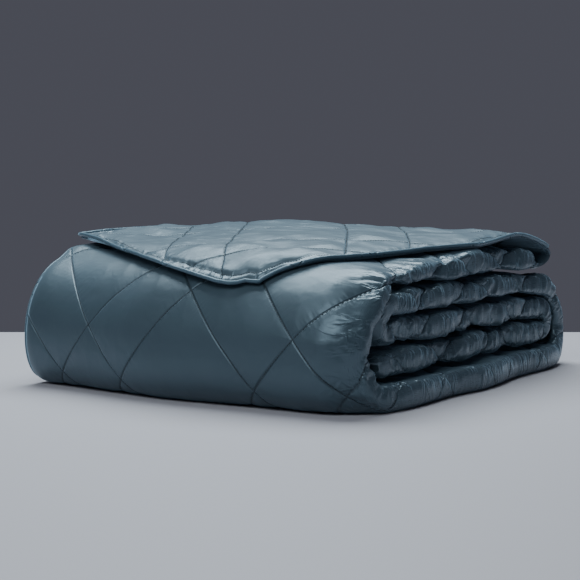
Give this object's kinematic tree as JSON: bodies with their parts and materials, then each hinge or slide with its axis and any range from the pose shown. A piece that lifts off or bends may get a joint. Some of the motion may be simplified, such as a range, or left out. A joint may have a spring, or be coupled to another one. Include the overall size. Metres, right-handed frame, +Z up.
{
  "type": "folded quilted blanket",
  "caption": "Quilted satin blanket folded in half and into a flat roll of layers, its top end turned back, with a bound edge.",
  "frame": {"origin": "middle of the folded bundle's underside, on the surface it rests on", "axes": "+Z up, +X towards the layers' rounded folds, -Y towards the smooth long fold at the front"},
  "size_m": [0.5308, 0.6306, 0.206],
  "materials": {
    "satin_cloth": "smooth slate blue-green satin, quilted, soft sheen",
    "satin_binding": "the same satin as a narrow corded binding"
  },
  "bodies": {
    "root": {"quilt": "satin_cloth", "binding_flap": "satin_binding", "binding_outer_sheet": "satin_binding", "binding_inner_sheet": "satin_binding"}
  },
  "joints": []
}
